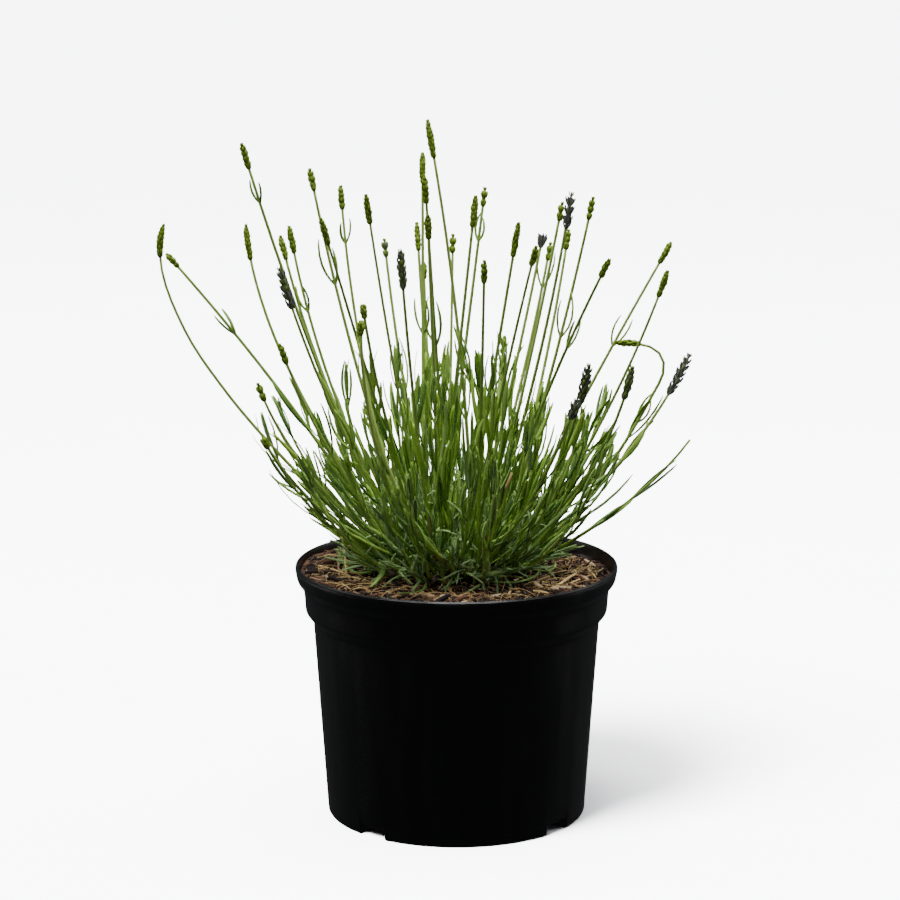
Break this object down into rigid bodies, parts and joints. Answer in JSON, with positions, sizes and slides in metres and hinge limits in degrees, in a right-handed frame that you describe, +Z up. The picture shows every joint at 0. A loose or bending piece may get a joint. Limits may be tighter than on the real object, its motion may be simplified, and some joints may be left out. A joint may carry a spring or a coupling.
{
  "type": "potted lavender",
  "caption": "Young lavender with leafy shoots and tall green bud spikes, growing in bark compost in a round black plastic nursery pot with a thick lip.",
  "frame": {"origin": "centre of the pot's flat base, on the surface it stands on", "axes": "+Z up along the pot's axis, -Y towards the front of the plant, +X to the right of a viewer in front"},
  "size_m": [0.3095, 0.2342, 0.41],
  "materials": {
    "pot_plastic": "satin black moulded polypropylene",
    "bark": "loose brown bark and coir chips",
    "crown_wood": "grey-brown fibrous bark",
    "stem_green": "matt yellow-green square stem with olive bud spike",
    "leaf_green": "soft matt green narrow leaves"
  },
  "bodies": {
    "root": {"nursery_pot": "pot_plastic", "bark_compost": "bark", "woody_crown": "crown_wood", "flower_stem_01": "stem_green", "flower_stem_02": "stem_green", "flower_stem_03": "stem_green", "flower_stem_04": "stem_green", "flower_stem_05": "stem_green", "flower_stem_06": "stem_green", "flower_stem_07": "stem_green", "flower_stem_08": "stem_green", "flower_stem_09": "stem_green", "flower_stem_10": "stem_green", "flower_stem_11": "stem_green", "flower_stem_12": "stem_green", "flower_stem_13": "stem_green", "flower_stem_14": "stem_green", "flower_stem_15": "stem_green", "flower_stem_16": "stem_green", "flower_stem_17": "stem_green", "flower_stem_18": "stem_green", "flower_stem_19": "stem_green", "flower_stem_20": "stem_green", "flower_stem_21": "stem_green", "flower_stem_22": "stem_green", "flower_stem_23": "stem_green", "flower_stem_24": "stem_green", "flower_stem_25": "stem_green", "flower_stem_26": "stem_green", "flower_stem_27": "stem_green", "flower_stem_28": "stem_green", "flower_stem_29": "stem_green", "flower_stem_30": "stem_green", "flower_stem_31": "stem_green", "flower_stem_32": "stem_green", "flower_stem_33": "stem_green", "flower_stem_34": "stem_green", "flower_stem_35": "stem_green", "flower_stem_36": "stem_green", "flower_stem_37": "stem_green", "flower_stem_38": "stem_green", "flower_stem_39": "stem_green", "flower_stem_40": "stem_green", "flower_stem_41": "stem_green", "flower_stem_42": "stem_green", "flower_stem_43": "stem_green", "flower_stem_44": "stem_green", "hooked_flower_stem": "stem_green", "cut_shoot": "leaf_green", "leafy_shoot_01": "leaf_green", "leafy_shoot_02": "leaf_green", "leafy_shoot_03": "leaf_green", "leafy_shoot_04": "leaf_green", "leafy_shoot_05": "leaf_green", "leafy_shoot_06": "leaf_green", "leafy_shoot_07": "leaf_green", "leafy_shoot_08": "leaf_green", "leafy_shoot_09": "leaf_green", "leafy_shoot_10": "leaf_green", "leafy_shoot_11": "leaf_green"}
  },
  "joints": []
}
